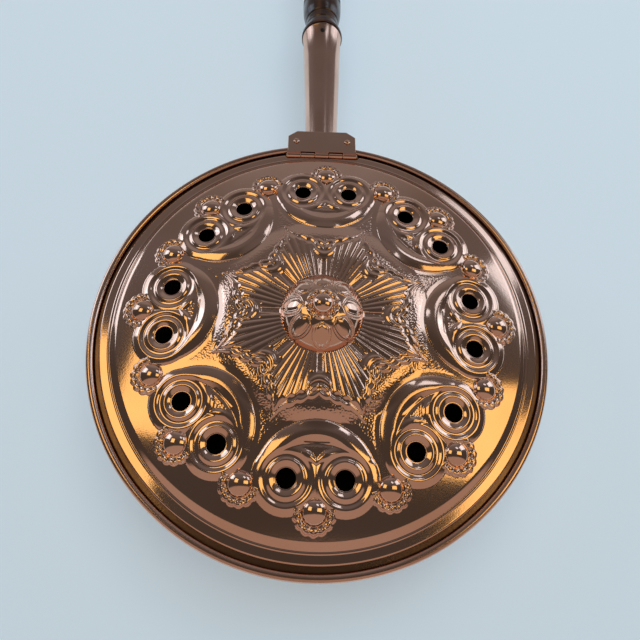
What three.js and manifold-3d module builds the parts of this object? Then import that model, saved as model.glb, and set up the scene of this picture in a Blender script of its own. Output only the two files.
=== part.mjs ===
// Bed warming pan: a round copper pan with a hinged, embossed and vented lid, carried by a bracket,
// a tapered ferrule and a turned wooden handle with a hanging ring. Millimetres, +Z up.
// The origin is the centre of the pan's flat underside; the handle runs along +Y.
import * as THREE from 'three';
import { mergeVertices } from 'three/addons/utils/BufferGeometryUtils.js';
import Module from 'manifold-3d';

const wasm = await Module();
wasm.setup();

// ---------------------------------------------------------------- driving dimensions
const SEAT_GAP = 0.3; // air left between two pieces that touch
const RING_STEPS = 56; // facets round the pan
const LID_STEPS = 64; // facets round the lid, a multiple of 16 so that the ornament repeats
const SMALL_STEPS = 12; // facets round a rivet, pin or knuckle

// pan
const BEAD_CIRCLE = 148.5; // radius from the pan's axis to the rolled edge's centre
const BEAD_HEIGHT = 62;
const BEAD_RADIUS = 2.5; // rolled edge
const WIRE_RADIUS = 0.9;
const PAN_SHEET = 1.2;
const FLANGE_WIDTH = 12; // from the outside of the upright wall to the rolled edge's centre
const FLANGE_BELOW_BEAD = 0.4; // the seat that the lid's hem rests on is this far below that centre
const WALL_TOP_BEND = 2.6;
const PAN_CORNER_RADIUS = 18;

// lid
const LID_SHEET = 1.2;
const LID_GAP = 3.2; // air between the lid's edge and the pan's rolled edge
const HEM_WIDTH = 2;
const HEM_HEIGHT = 2.6;
const RIDGE_INSET = 6.4; // from the lid's edge to the thin raised line inside the flange
const RIDGE_HEIGHT = 0.5;
const RIDGE_WIDTH = 1.4;
const SLOPE_WIDTH = 6; // from that line to the edge of the raised field that carries the ornament
const FIELD_STEP = 2.6; // rise from the flange to the field
const DOME_RISE = 10; // rise of the plain field at the lid's centre
const MOTIFS = 8;
const ORNAMENT_TURN = -1.7; // degrees that the ornament sits off the hinge's line
const VENT_RADIUS = 5.75;
const VENT_HALF_ANGLE = 9.62; // degrees from a motif's centre line to its vents
const MOTIF_HEIGHT = 3.6;
const STAR_HEIGHT = 2.4;
const BOSS_HEIGHT = 4.6;
const BUD_SIDE_RISE = 5;
const BUD_SHOULDER_RISE = 13;
const BALL_FOOT_RISE = 14.5;
const BALL_RISE = 19.5;
const ORNAMENT_FIELD = 130.4; // the field radius for which the ornament's plan is given in the next block

// the ornament's plan, which grows and shrinks with the field
const LID_RADIUS = BEAD_CIRCLE - BEAD_RADIUS - LID_GAP;
const RIDGE_RADIUS = LID_RADIUS - RIDGE_INSET;
const FIELD_RADIUS = RIDGE_RADIUS - SLOPE_WIDTH;
const PLAN_SCALE = FIELD_RADIUS / ORNAMENT_FIELD;
const VENT_CIRCLE = 100 * PLAN_SCALE;
const MOTIF_CENTRE = 101.3 * PLAN_SCALE;
const MOTIF_RADIUS = 35.3 * PLAN_SCALE;
const LOBE_RADIUS = 18.5 * PLAN_SCALE;
const CREST_WIDTH = 5 * PLAN_SCALE; // from the motif's outline to its crest
const STAR_TIP = 71 * PLAN_SCALE;
const STAR_NOTCH = 51.5 * PLAN_SCALE;
const STAR_EDGE_WIDTH = 3 * PLAN_SCALE;
const BOSS_RADIUS = 6 * PLAN_SCALE;
const NOTCH_BOSS_CIRCLE = 116 * PLAN_SCALE; // bosses in the motifs' outer notches
const GAP_BOSS_CIRCLE = 111 * PLAN_SCALE; // bosses between the motifs
const BUD_FOOT_RADIUS = 26.5 * PLAN_SCALE;
const BUD_SIDE_RADIUS = 25 * PLAN_SCALE;
const BUD_SHOULDER_RADIUS = 15 * PLAN_SCALE;
const BALL_FOOT_RADIUS = 6.5 * PLAN_SCALE;
const LEAF_RING = 38 * PLAN_SCALE; // rings of the lid's mesh between the ornament's own circles
const STAR_RING = 60 * PLAN_SCALE;
const HOLLOW_RING = 78 * PLAN_SCALE;
const BAND_RING = 88 * PLAN_SCALE;
const OUTER_RING = 122 * PLAN_SCALE;

// hinge
const HINGE_LENGTH = 54;
const KNUCKLES = 5;
const KNUCKLE_RADIUS = 2.15;
const KNUCKLE_GAP = 0.4;
const PIN_RADIUS = 0.9;
const PIN_CLEARANCE = 0.25;
const PIN_HEAD_RADIUS = 1.5;
const PIN_HEAD_LENGTH = 0.8;
const HINGE_INSET = 2.8; // from the lid's edge to the hinge's axis
const PLATE_THICKNESS = 1.4;
const PLATE_INSET = 0.4; // the plate is this much shorter than the hinge at each end
const PLATE_REACH = 23.1; // from the hinge's axis to the plate's far edge
const PLATE_CHAMFER_X = 7;
const PLATE_CHAMFER_Y = 5.3;
const LEAF_THICKNESS = 1.1;
const LEAF_DEPTH = 8;
const HINGE_SLOT = 0.45; // clearance between a knuckle and the other leaf

// bracket that joins the handle to the pan
const SADDLE_THICKNESS = 3;
const SADDLE_HEIGHT = 27.1;
const SADDLE_HALF_WIDTH = 25.2; // either side of the handle's line, along the wall
const WEB_HALF_WIDTH = 15.6;
const BEAD_CLEARANCE = 0.4;
const ARM_THICKNESS = 3.4;
const WEB_THICKNESS = 3;
const SHELF_THICKNESS = 2.6;

// rivets
const RIVET_RADIUS = 1.5;
const RIVET_CLEARANCE = 0.25;
const RIVET_HEAD_RADIUS = 3.2;
const RIVET_HEAD_HEIGHT = 1.6;
const HINGE_RIVET_X = 20;
const HINGE_RIVET_INSET = 10.4; // from the plate's far edge
const BRACKET_RIVET_SIDE = 18.8; // either side of the handle's line
const BRACKET_RIVET_DROPS = [20.1, 7.1]; // below the arm's top

// handle, measured along its own axis from the ferrule's root
const HANDLE_RISE = 3; // degrees above level
const HANDLE_BELOW_BEAD = 0.45; // air between the spigot and the rolled edge above it
const FERRULE_LENGTH = 131;
const FERRULE_ROOT_RADIUS = 12.45;
const FERRULE_MOUTH_RADIUS = 17.2;
const FERRULE_WALL = 0.9;
const SPIGOT_LENGTH = 30;
const TENON_START = 36;
const FERRULE_RIVET_AT = 16;
const FERRULE_RIVET_DEPTH = 6;
const NAIL_FROM_MOUTH = 9;
const NAIL_RADIUS = 1.1;
const NAIL_HEAD_RADIUS = 2;
const NAIL_HEAD_HEIGHT = 0.9;
const NAIL_DEPTH = 9;
const COLLAR_STEP = 1.3; // the handle's collar stands out from the ferrule's mouth
const WOOD_STEPS = 16;
const FERRULE_STEPS = 24;

// hanging ring
const EYE_RADIUS = 5; // centre line of the screw eye's loop
const EYE_WIRE = 1.5;
const EYE_SHANK_RADIUS = 1.8;
const EYE_SHANK_DEPTH = 16;
const RING_RADIUS = 16; // centre line of the hanging ring
const RING_WIRE = 1.8;
const LOOP_STEPS = 24;
const LOOP_SIDES = 8;

// ---------------------------------------------------------------- values worked out from them
const PAN_WALL_RADIUS = BEAD_CIRCLE - FLANGE_WIDTH;
const FLANGE_TOP = BEAD_HEIGHT - FLANGE_BELOW_BEAD;
const HEM_BOTTOM = FLANGE_TOP + SEAT_GAP;
const LID_FLANGE_TOP = HEM_BOTTOM + HEM_HEIGHT;
const FIELD_EDGE = LID_FLANGE_TOP + FIELD_STEP;
const BEAD_OUTER = BEAD_CIRCLE + BEAD_RADIUS;
const PLATE_BOTTOM = BEAD_HEIGHT + BEAD_RADIUS + SEAT_GAP;
const PLATE_TOP = PLATE_BOTTOM + PLATE_THICKNESS;
const HINGE_Y = LID_RADIUS - HINGE_INSET;
const HINGE_Z = PLATE_TOP - KNUCKLE_RADIUS;
const PLATE_WIDTH = HINGE_LENGTH - 2 * PLATE_INSET;
const PLATE_END_Y = HINGE_Y + PLATE_REACH;
const HINGE_RIVET_Y = PLATE_END_Y - HINGE_RIVET_INSET;
const LEAF_BOTTOM = HINGE_Z - KNUCKLE_RADIUS;
const SLOT_RADIUS = KNUCKLE_RADIUS + HINGE_SLOT;
const KNUCKLE_LENGTH = (HINGE_LENGTH - (KNUCKLES - 1) * KNUCKLE_GAP) / KNUCKLES;
const SADDLE_INNER = PAN_WALL_RADIUS + SEAT_GAP;
const SADDLE_OUTER = SADDLE_INNER + SADDLE_THICKNESS;
const ARM_TOP = FLANGE_TOP - PAN_SHEET - WALL_TOP_BEND + SEAT_GAP;
const SADDLE_BOTTOM = ARM_TOP - SADDLE_HEIGHT;
const WEB_INNER = BEAD_OUTER + BEAD_CLEARANCE;
const WEB_OUTER = WEB_INNER + WEB_THICKNESS;
const SHELF_TOP = PLATE_BOTTOM - SEAT_GAP;
const RISE = THREE.MathUtils.degToRad(HANDLE_RISE);
const SPIGOT_RADIUS = FERRULE_ROOT_RADIUS - FERRULE_WALL - SEAT_GAP;
const HANDLE_ROOT_Y = WEB_OUTER + SEAT_GAP + FERRULE_ROOT_RADIUS * Math.sin(RISE);
const HANDLE_ROOT_Z = BEAD_HEIGHT - BEAD_RADIUS - HANDLE_BELOW_BEAD - SPIGOT_RADIUS;
const FERRULE_TAPER = (FERRULE_MOUTH_RADIUS - FERRULE_ROOT_RADIUS) / FERRULE_LENGTH;
const RIVET_HOLE = RIVET_RADIUS + RIVET_CLEARANCE;
const TOOL_LENGTH = 15; // of a tool that cuts right through a sheet or a plate
const COLLAR_RADIUS = FERRULE_MOUTH_RADIUS + COLLAR_STEP;

// The wooden handle's turned outline beyond the ferrule: distance from the mouth, radius.
const TURNED_OUTLINE = [
  [SEAT_GAP, COLLAR_RADIUS], [3, COLLAR_RADIUS], [5.5, 17], [10, 15.4], [17, 14.7], [22, 15.4],
  [28, 17], [36, 17.7], [46, 17.7], [55, 17.3], [65, 15.6], [75, 12.8], [81, 12], [84, 14.2],
  [89, 14.2], [92, 12.3], [110, 12.5], [200, 14.4], [300, 15], [400, 13.8], [468, 12], [473, 14],
  [480, 14], [485, 12],
  [505, 13.6], [545, 15.4], [580, 14.8], [602, 12], [608, 11], [613, 13], [622, 13.4], [630, 11],
  [635, 8.5],
];
const HANDLE_END = FERRULE_LENGTH + TURNED_OUTLINE.at(-1)[0];

// ---------------------------------------------------------------- materials
const COPPER = { color: 0xc98a62, metalness: 1, roughness: 0.14 };
const BRASS = { color: 0xc2a05a, metalness: 1, roughness: 0.25 };
const STEEL = { color: 0x6b6864, metalness: 1, roughness: 0.4 };
const IRON = { color: 0x2c2a28, metalness: 0.6, roughness: 0.5 };
const WOOD = { color: 0x3b2620, metalness: 0, roughness: 0.3 };

// ---------------------------------------------------------------- helpers
const rad = THREE.MathUtils.degToRad;
const smooth = THREE.MathUtils.smoothstep;

// A closed three.js geometry as a solid, turned right way out if its faces point in.
function solid(geometry) {
  const bare = geometry.clone();
  bare.deleteAttribute('normal');
  bare.deleteAttribute('uv');
  const welded = mergeVertices(bare, 1e-4);
  const vertProperties = new Float32Array(welded.attributes.position.array);
  const triVerts = dropThinTriangles(new Uint32Array(welded.index.array));
  const made = new wasm.Manifold(new wasm.Mesh({ numProp: 3, vertProperties, triVerts }));
  if (made.volume() > 0) {
    return made;
  }
  for (let i = 0; i < triVerts.length; i += 3) {
    [triVerts[i], triVerts[i + 1]] = [triVerts[i + 1], triVerts[i]];
  }
  return new wasm.Manifold(new wasm.Mesh({ numProp: 3, vertProperties, triVerts }));
}

// Welding folds the triangles that touch a lathe's axis; they are left out.
function dropThinTriangles(indices) {
  const kept = [];
  for (let i = 0; i < indices.length; i += 3) {
    const [a, b, c] = indices.subarray(i, i + 3);
    if (a !== b && b !== c && c !== a) {
      kept.push(a, b, c);
    }
  }
  return new Uint32Array(kept);
}

function named(name, body, finish) {
  const { vertProperties, triVerts } = body.getMesh();
  const geometry = new THREE.BufferGeometry();
  geometry.setAttribute('position', new THREE.BufferAttribute(vertProperties, 3));
  geometry.setIndex(new THREE.BufferAttribute(triVerts, 1));
  geometry.computeVertexNormals();
  const mesh = new THREE.Mesh(geometry, new THREE.MeshStandardMaterial(finish));
  mesh.name = name;
  return mesh;
}

// Points of an arc in a lathe's section, angles in degrees.
function arc(centreR, centreZ, radius, from, to, steps) {
  const points = [];
  for (let i = 0; i <= steps; i += 1) {
    const angle = rad(from + ((to - from) * i) / steps);
    points.push([centreR + radius * Math.cos(angle), centreZ + radius * Math.sin(angle)]);
  }
  return points;
}

function lathe(section, steps) {
  const points = section.map(([radius, along]) => new THREE.Vector2(radius, along));
  return new THREE.LatheGeometry(points, steps);
}

// A section turned about the pan's upright axis.
function turnedUpright(section, steps) {
  return lathe(section, steps).rotateX(Math.PI / 2);
}

// A geometry built along +Y from the ferrule's root, laid on the handle's rising axis.
function onHandle(geometry) {
  return geometry.rotateX(RISE).translate(0, HANDLE_ROOT_Y, HANDLE_ROOT_Z);
}

function cylinder(radius, length, steps = SMALL_STEPS) {
  return new THREE.CylinderGeometry(radius, radius, length, steps);
}

function box(x0, x1, y0, y1, z0, z1) {
  return solid(
    new THREE.BoxGeometry(x1 - x0, y1 - y0, z1 - z0)
      .translate((x0 + x1) / 2, (y0 + y1) / 2, (z0 + z1) / 2),
  );
}

// A plan outline raised from one height to another.
function raised(shape, bottom, top, curveSegments = 8) {
  const options = { depth: top - bottom, bevelEnabled: false, curveSegments };
  return solid(new THREE.ExtrudeGeometry(shape, options).translate(0, 0, bottom));
}

// A plan outline between two circles round the pan's axis, centred on +Y.
function sector(inner, outer, halfWidth) {
  const halfAngle = Math.asin(halfWidth / outer);
  const shape = new THREE.Shape();
  const quarter = Math.PI / 2;
  shape.absarc(0, 0, outer, quarter - halfAngle, quarter + halfAngle, false);
  shape.absarc(0, 0, inner, quarter + halfAngle, quarter - halfAngle, true);
  shape.closePath();
  return shape;
}

// ---------------------------------------------------------------- pan
function panSection() {
  const flangeBottom = FLANGE_TOP - PAN_SHEET;
  const cornerCentre = PAN_WALL_RADIUS - PAN_CORNER_RADIUS;
  const bendCentre = PAN_WALL_RADIUS + WALL_TOP_BEND;
  const bendBottom = flangeBottom - WALL_TOP_BEND;
  const innerBead = BEAD_RADIUS - PAN_SHEET;
  return [
    [0, 0],
    ...arc(cornerCentre, PAN_CORNER_RADIUS, PAN_CORNER_RADIUS, -90, 0, 4),
    ...arc(bendCentre, bendBottom, WALL_TOP_BEND, 180, 90, 2),
    ...arc(BEAD_CIRCLE, BEAD_HEIGHT, BEAD_RADIUS, -138, 165, 8),
    ...arc(BEAD_CIRCLE, BEAD_HEIGHT, innerBead, 165, -150, 6),
    ...arc(bendCentre, bendBottom, WALL_TOP_BEND + PAN_SHEET, 90, 180, 2),
    ...arc(cornerCentre, PAN_CORNER_RADIUS, PAN_CORNER_RADIUS - PAN_SHEET, 0, -90, 4),
    [0, PAN_SHEET],
  ];
}

function panBowl() {
  let bowl = solid(turnedUpright(panSection(), RING_STEPS));
  for (const hole of bracketRivetPlaces()) {
    bowl = bowl.subtract(solid(onRadius(cylinder(RIVET_HOLE, 2 * SADDLE_THICKNESS), PAN_WALL_RADIUS, hole)));
  }
  return bowl;
}

function rimWire() {
  return solid(
    new THREE.TorusGeometry(BEAD_CIRCLE, WIRE_RADIUS, 6, RING_STEPS).translate(0, 0, BEAD_HEIGHT),
  );
}

// ---------------------------------------------------------------- lid
// The star's edge: a straight line in each leaf from the notch to the tip.
function starEdge(angle) {
  const tip = rad(180 / MOTIFS);
  const run = STAR_TIP * Math.sin(tip);
  const rise = STAR_TIP * Math.cos(tip) - STAR_NOTCH;
  return (STAR_NOTCH * run) / (run * Math.cos(angle) - rise * Math.sin(angle));
}

// How far a point lies inside a motif's outline: a wide round body with two round lobes.
function insideMotif(along, across) {
  const body = Math.min(
    MOTIF_RADIUS - Math.hypot(along - MOTIF_CENTRE, across),
    VENT_CIRCLE - along,
  );
  return Math.max(body, LOBE_RADIUS - ventDistance(along, across));
}

function ventDistance(along, across) {
  const ventAlong = VENT_CIRCLE * Math.cos(rad(VENT_HALF_ANGLE));
  const ventAcross = VENT_CIRCLE * Math.sin(rad(VENT_HALF_ANGLE));
  return Math.hypot(along - ventAlong, across - ventAcross);
}

function motifHeight(along, across) {
  const inside = insideMotif(along, across);
  const crest = smooth(inside, 0, CREST_WIDTH);
  const hollow = smooth(inside, 2 * CREST_WIDTH, 3 * CREST_WIDTH);
  return MOTIF_HEIGHT * crest * (1 - 0.5 * hollow);
}

// The embossed height at a radius and an angle from the nearest motif's centre line.
function ornamentHeight(radius, angle) {
  if (radius < BUD_FOOT_RADIUS || radius >= FIELD_RADIUS) {
    return 0;
  }
  const along = radius * Math.cos(angle);
  const across = radius * Math.sin(angle);
  const gap = rad(180 / MOTIFS);
  const notchBoss = Math.hypot(along - NOTCH_BOSS_CIRCLE, across);
  const gapBoss = Math.hypot(
    along - GAP_BOSS_CIRCLE * Math.cos(gap),
    across - GAP_BOSS_CIRCLE * Math.sin(gap),
  );
  const boss = BOSS_HEIGHT * (1 - smooth(Math.min(notchBoss, gapBoss), 0, BOSS_RADIUS));
  const insideStar = starEdge(angle) - radius;
  const star = STAR_HEIGHT * smooth(insideStar, -STAR_EDGE_WIDTH / 3, (STAR_EDGE_WIDTH * 2) / 3);
  return Math.max(motifHeight(along, across), star, boss);
}

// Lid section from the top centre out to the hem and back along the underside. Between the bud and
// the field's edge it is a shallow dome, and its rings lie where the ornament's crests and hollows are.
function lidTopSection() {
  const dome = (radius) => FIELD_EDGE + DOME_RISE * (1 - (radius / FIELD_RADIUS) ** 2);
  const budBase = dome(0);
  const ornamentRings = [
    LEAF_RING, STAR_NOTCH, STAR_RING, MOTIF_CENTRE - MOTIF_RADIUS, STAR_TIP, HOLLOW_RING, BAND_RING,
    VENT_CIRCLE, GAP_BOSS_CIRCLE, NOTCH_BOSS_CIRCLE, OUTER_RING,
  ];
  return [
    [0, budBase + BALL_RISE],
    [BALL_FOOT_RADIUS * 0.7, budBase + BALL_RISE - 1.8],
    [BALL_FOOT_RADIUS, budBase + BALL_FOOT_RISE],
    [BUD_SHOULDER_RADIUS, budBase + BUD_SHOULDER_RISE],
    [BUD_SIDE_RADIUS, budBase + BUD_SIDE_RISE + STAR_HEIGHT],
    [BUD_FOOT_RADIUS, dome(BUD_FOOT_RADIUS) + STAR_HEIGHT],
    ...ornamentRings.map((radius) => [radius, dome(radius)]),
    [FIELD_RADIUS, FIELD_EDGE],
    [RIDGE_RADIUS - RIDGE_WIDTH / 2, LID_FLANGE_TOP],
    [RIDGE_RADIUS, LID_FLANGE_TOP + RIDGE_HEIGHT],
    [RIDGE_RADIUS + RIDGE_WIDTH / 2, LID_FLANGE_TOP],
  ];
}

function lidPanel() {
  const top = lidTopSection();
  const underside = top.map(([radius, height]) => [radius, height - LID_SHEET]).reverse();
  const hem = [
    [LID_RADIUS - HEM_HEIGHT / 4, LID_FLANGE_TOP],
    [LID_RADIUS, HEM_BOTTOM + HEM_HEIGHT / 2],
    [LID_RADIUS - HEM_HEIGHT / 4, HEM_BOTTOM],
    [LID_RADIUS - HEM_WIDTH, HEM_BOTTOM],
    [LID_RADIUS - HEM_WIDTH, LID_FLANGE_TOP - LID_SHEET],
  ];
  const panel = turnedUpright([...top, ...hem, ...underside], LID_STEPS);
  const places = panel.attributes.position;
  const pitch = rad(360 / MOTIFS);
  for (let i = 0; i < places.count; i += 1) {
    const angle = Math.atan2(places.getY(i), places.getX(i));
    const fromMotif = Math.abs(angle - pitch * Math.round(angle / pitch));
    const radius = Math.hypot(places.getX(i), places.getY(i));
    places.setZ(i, places.getZ(i) + ornamentHeight(radius, fromMotif));
  }
  return panel.rotateZ(rad(ORNAMENT_TURN));
}

function lid() {
  let panel = solid(lidPanel());
  const ventTool = cylinder(VENT_RADIUS, 3 * TOOL_LENGTH).rotateX(Math.PI / 2)
    .translate(VENT_CIRCLE, 0, FIELD_EDGE);
  for (let motif = 0; motif < MOTIFS; motif += 1) {
    for (const side of [-1, 1]) {
      const turn = (motif * 360) / MOTIFS + side * VENT_HALF_ANGLE + ORNAMENT_TURN;
      panel = panel.subtract(solid(ventTool.clone().rotateZ(rad(turn))));
    }
  }
  const half = HINGE_LENGTH / 2 + PIN_HEAD_LENGTH + SEAT_GAP;
  const notch = box(
    -half, half, HINGE_Y - SLOT_RADIUS - SEAT_GAP, LID_RADIUS + 1,
    HEM_BOTTOM - 1, LID_FLANGE_TOP + 1,
  );
  return panel.subtract(notch);
}

// ---------------------------------------------------------------- hinge
function knuckleCentre(index) {
  return -HINGE_LENGTH / 2 + KNUCKLE_LENGTH / 2 + index * (KNUCKLE_LENGTH + KNUCKLE_GAP);
}

// A leaf with the knuckles whose index has the given parity. A web joins each to the leaf, which
// lies on one side of the pin and is level with the knuckles' top or bottom.
function withKnuckles(leaf, parity, webEndY, webBottom, webTop) {
  let joined = leaf;
  for (let index = parity; index < KNUCKLES; index += 2) {
    const centre = knuckleCentre(index);
    const tube = cylinder(KNUCKLE_RADIUS, KNUCKLE_LENGTH).rotateZ(Math.PI / 2);
    const web = box(
      centre - KNUCKLE_LENGTH / 2, centre + KNUCKLE_LENGTH / 2,
      Math.min(HINGE_Y, webEndY), Math.max(HINGE_Y, webEndY), webBottom, webTop,
    );
    joined = joined.add(solid(tube.translate(centre, HINGE_Y, HINGE_Z))).add(web);
  }
  const bore = cylinder(PIN_RADIUS + PIN_CLEARANCE, HINGE_LENGTH + 2).rotateZ(Math.PI / 2);
  return joined.subtract(solid(bore.translate(0, HINGE_Y, HINGE_Z)));
}

function plateOutline(innerY) {
  const half = PLATE_WIDTH / 2;
  const shape = new THREE.Shape();
  shape.moveTo(-half, innerY);
  shape.lineTo(half, innerY);
  shape.lineTo(half, PLATE_END_Y - PLATE_CHAMFER_Y);
  shape.lineTo(half - PLATE_CHAMFER_X, PLATE_END_Y);
  shape.lineTo(PLATE_CHAMFER_X - half, PLATE_END_Y);
  shape.lineTo(-half, PLATE_END_Y - PLATE_CHAMFER_Y);
  shape.closePath();
  return shape;
}

function hingePlate() {
  const innerY = HINGE_Y + SLOT_RADIUS;
  let plate = raised(plateOutline(innerY), PLATE_BOTTOM, PLATE_TOP);
  for (const side of [-1, 1]) {
    plate = plate.subtract(hingeRivetHole(side));
  }
  return withKnuckles(plate, 0, innerY + 1, PLATE_BOTTOM, PLATE_TOP);
}

function lidHingeLeaf() {
  const nearY = HINGE_Y - SLOT_RADIUS;
  const half = HINGE_LENGTH / 2 - 1;
  const leaf = box(-half, half, nearY - LEAF_DEPTH, nearY, LEAF_BOTTOM, LEAF_BOTTOM + LEAF_THICKNESS);
  return withKnuckles(leaf, 1, nearY - 1, LEAF_BOTTOM, LEAF_BOTTOM + LEAF_THICKNESS);
}

function hingePin() {
  const reach = HINGE_LENGTH / 2 + SEAT_GAP;
  const section = [
    [0, -reach - PIN_HEAD_LENGTH], [PIN_HEAD_RADIUS, -reach - PIN_HEAD_LENGTH / 2],
    [PIN_HEAD_RADIUS, -reach], [PIN_RADIUS, -reach], [PIN_RADIUS, reach], [PIN_HEAD_RADIUS, reach],
    [PIN_HEAD_RADIUS, reach + PIN_HEAD_LENGTH / 2], [0, reach + PIN_HEAD_LENGTH],
  ];
  return solid(lathe(section, SMALL_STEPS).rotateZ(Math.PI / 2).translate(0, HINGE_Y, HINGE_Z));
}

// ---------------------------------------------------------------- rivets
// A rivet along +Y whose two domed heads clamp what lies between 0 and the grip.
function rivet(grip) {
  const head = RIVET_HEAD_RADIUS;
  const far = grip + SEAT_GAP;
  return lathe([
    [0, -SEAT_GAP - RIVET_HEAD_HEIGHT], [head * 0.7, -SEAT_GAP - RIVET_HEAD_HEIGHT * 0.75],
    [head, -SEAT_GAP], [RIVET_RADIUS, -SEAT_GAP], [RIVET_RADIUS, far], [head, far],
    [head * 0.7, far + RIVET_HEAD_HEIGHT * 0.75], [0, far + RIVET_HEAD_HEIGHT],
  ], SMALL_STEPS);
}

function hingeRivet(side) {
  const grip = PLATE_TOP - SHELF_TOP + SHELF_THICKNESS;
  const upright = rivet(grip).rotateX(Math.PI / 2);
  return solid(upright.translate(side * HINGE_RIVET_X, HINGE_RIVET_Y, SHELF_TOP - SHELF_THICKNESS));
}

function hingeRivetHole(side) {
  const tool = cylinder(RIVET_HOLE, TOOL_LENGTH).rotateX(Math.PI / 2);
  return solid(tool.translate(side * HINGE_RIVET_X, HINGE_RIVET_Y, PLATE_BOTTOM));
}

function bracketRivetPlaces() {
  const places = [];
  for (const side of [-1, 1]) {
    for (const drop of BRACKET_RIVET_DROPS) {
      places.push({ turn: side * Math.asin(BRACKET_RIVET_SIDE / PAN_WALL_RADIUS), height: ARM_TOP - drop });
    }
  }
  return places;
}

// A geometry along +Y moved out to a radius, then round the pan's axis and up.
function onRadius(geometry, radius, { turn, height }) {
  return geometry.translate(0, radius, 0).rotateZ(turn).translate(0, 0, height);
}

function bracketRivet(place) {
  const inner = PAN_WALL_RADIUS - PAN_SHEET - SEAT_GAP;
  return solid(onRadius(rivet(SADDLE_OUTER - inner), inner, place));
}

// ---------------------------------------------------------------- bracket
function handleBracket() {
  const armBottom = ARM_TOP - ARM_THICKNESS;
  const saddle = raised(sector(SADDLE_INNER, SADDLE_OUTER, SADDLE_HALF_WIDTH), SADDLE_BOTTOM, ARM_TOP);
  const arm = raised(sector(SADDLE_INNER, WEB_OUTER, WEB_HALF_WIDTH), armBottom, ARM_TOP);
  const web = raised(sector(WEB_INNER, WEB_OUTER, WEB_HALF_WIDTH), armBottom, SHELF_TOP);
  const shelfPlan = raised(plateOutline(HINGE_Y), SHELF_TOP - SHELF_THICKNESS, SHELF_TOP);
  const beadRoom = solid(cylinder(WEB_INNER, 2 * TOOL_LENGTH, RING_STEPS).rotateX(Math.PI / 2)
    .translate(0, 0, SHELF_TOP));
  let bracket = saddle.add(arm).add(web).add(shelfPlan.subtract(beadRoom)).add(spigot());
  for (const side of [-1, 1]) {
    bracket = bracket.subtract(hingeRivetHole(side));
  }
  for (const place of bracketRivetPlaces()) {
    bracket = bracket.subtract(solid(onRadius(cylinder(RIVET_HOLE, TOOL_LENGTH), SADDLE_INNER, place)));
  }
  return bracket.subtract(ferruleRivetHole());
}

// Radius of what fills the ferrule, at a distance along it.
function fillRadius(along) {
  return SPIGOT_RADIUS + FERRULE_TAPER * along;
}

function spigot() {
  const start = SADDLE_OUTER - SADDLE_THICKNESS / 2 - HANDLE_ROOT_Y;
  const section = [
    [0, start], [fillRadius(0), start], [fillRadius(0), 0],
    [fillRadius(SPIGOT_LENGTH), SPIGOT_LENGTH], [0, SPIGOT_LENGTH],
  ];
  return solid(onHandle(lathe(section, FERRULE_STEPS)));
}

// ---------------------------------------------------------------- ferrule
function ferrule() {
  const outer = FERRULE_ROOT_RADIUS;
  const mouth = FERRULE_MOUTH_RADIUS;
  const section = [
    [outer, 0], [mouth, FERRULE_LENGTH], [mouth - FERRULE_WALL, FERRULE_LENGTH],
    [outer - FERRULE_WALL, 0], [outer, 0],
  ];
  const tube = solid(onHandle(lathe(section, FERRULE_STEPS)));
  return tube.subtract(ferruleRivetHole()).subtract(nailHole());
}

function ferruleRadius(along) {
  return FERRULE_ROOT_RADIUS + FERRULE_TAPER * along;
}

// The rivet under the ferrule: a domed head below and a shank up into the spigot.
function ferruleRivet() {
  const surface = ferruleRadius(FERRULE_RIVET_AT) + SEAT_GAP;
  const section = [
    [0, -surface - RIVET_HEAD_HEIGHT], [RIVET_HEAD_RADIUS * 0.7, -surface - RIVET_HEAD_HEIGHT * 0.75],
    [RIVET_HEAD_RADIUS, -surface], [RIVET_RADIUS, -surface],
    [RIVET_RADIUS, -surface + FERRULE_RIVET_DEPTH], [0, -surface + FERRULE_RIVET_DEPTH],
  ];
  return solid(onHandle(lathe(section, SMALL_STEPS).rotateX(Math.PI / 2).translate(0, FERRULE_RIVET_AT, 0)));
}

function ferruleRivetHole() {
  const surface = ferruleRadius(FERRULE_RIVET_AT);
  const depth = FERRULE_RIVET_DEPTH + SEAT_GAP;
  const tool = cylinder(RIVET_HOLE, 2 * depth).rotateX(Math.PI / 2);
  return solid(onHandle(tool.translate(0, FERRULE_RIVET_AT, -surface)));
}

// The nail near the mouth, driven down through the ferrule into the wood.
function ferruleNail() {
  const at = FERRULE_LENGTH - NAIL_FROM_MOUTH;
  const surface = ferruleRadius(at) + SEAT_GAP;
  const section = [
    [0, surface - NAIL_DEPTH], [NAIL_RADIUS, surface - NAIL_DEPTH + 2], [NAIL_RADIUS, surface],
    [NAIL_HEAD_RADIUS, surface], [NAIL_HEAD_RADIUS * 0.7, surface + NAIL_HEAD_HEIGHT * 0.8],
    [0, surface + NAIL_HEAD_HEIGHT],
  ];
  return solid(onHandle(lathe(section, SMALL_STEPS).rotateX(Math.PI / 2).translate(0, at, 0)));
}

function nailHole() {
  const at = FERRULE_LENGTH - NAIL_FROM_MOUTH;
  const tool = cylinder(NAIL_RADIUS + RIVET_CLEARANCE, 2 * (NAIL_DEPTH + SEAT_GAP)).rotateX(Math.PI / 2);
  return solid(onHandle(tool.translate(0, at, ferruleRadius(at))));
}

// ---------------------------------------------------------------- handle and hanging ring
function woodenHandle() {
  const outline = TURNED_OUTLINE.map(([beyond, radius]) => [radius, FERRULE_LENGTH + beyond]);
  const section = [
    [0, TENON_START], [fillRadius(TENON_START), TENON_START],
    [fillRadius(FERRULE_LENGTH), FERRULE_LENGTH + SEAT_GAP], ...outline, [0, HANDLE_END],
  ];
  const shankHole = cylinder(EYE_SHANK_RADIUS + RIVET_CLEARANCE, 2 * (EYE_SHANK_DEPTH + SEAT_GAP));
  return solid(onHandle(lathe(section, WOOD_STEPS)))
    .subtract(nailHole())
    .subtract(solid(onHandle(shankHole.translate(0, HANDLE_END, 0))));
}

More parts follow.
